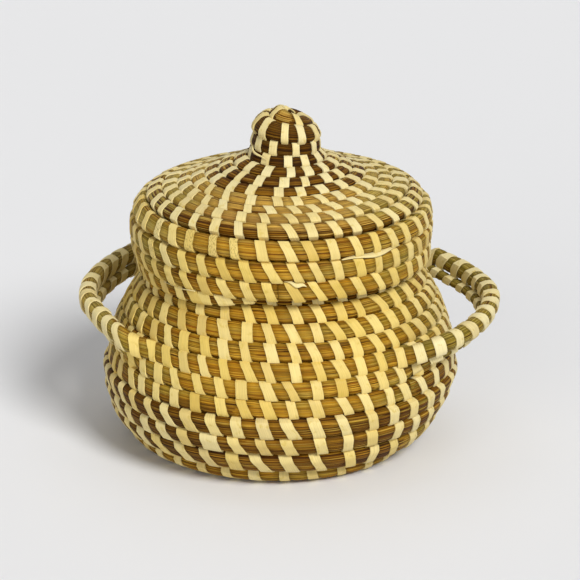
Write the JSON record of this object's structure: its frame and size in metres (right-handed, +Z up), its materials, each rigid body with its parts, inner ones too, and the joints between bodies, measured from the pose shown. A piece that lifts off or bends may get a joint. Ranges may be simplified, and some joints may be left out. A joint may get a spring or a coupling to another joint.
{
  "type": "coiled sweetgrass basket",
  "caption": "Round coiled sweetgrass basket with a bulging body, two side handles wound out of the wall, and a domed lid with a wound knob that lifts off.",
  "frame": {"origin": "centre of the outline, on the surface the basket stands on", "axes": "+Z up; the two handles lie along X; the pictured front faces -Y"},
  "size_m": [0.2026, 0.173, 0.1655],
  "materials": {
    "gold_sweetgrass": "dry plant fibre, matt with a faint sheen along the stems",
    "dark_sweetgrass": "dry plant fibre, matt",
    "brown_sweetgrass": "dry plant fibre, matt"
  },
  "bodies": {
    "basket": {"base_eye": "gold_sweetgrass", "base_coil": "gold_sweetgrass", "foot_row": "gold_sweetgrass", "belly_band": "dark_sweetgrass", "gold_belly_row": "gold_sweetgrass", "lower_handle_row": "gold_sweetgrass", "upper_handle_row": "gold_sweetgrass", "left_lower_wall_piece": "gold_sweetgrass", "left_upper_wall_piece": "gold_sweetgrass", "right_lower_wall_piece": "gold_sweetgrass", "right_upper_wall_piece": "gold_sweetgrass", "shoulder_band": "gold_sweetgrass", "neck_band": "dark_sweetgrass", "rim_row": "brown_sweetgrass"},
    "lid": {"knob_coil": "brown_sweetgrass", "knob_skirt_band": "dark_sweetgrass", "gold_dome_band": "gold_sweetgrass", "dark_dome_row": "dark_sweetgrass", "lid_side_band": "gold_sweetgrass", "lid_end_row": "gold_sweetgrass"}
  },
  "joints": [
    {"name": "lid_lift", "type": "slide", "parent": "basket", "child": "lid", "axis": [0, 0, 1], "range_m": [0, 0.12]}
  ]
}
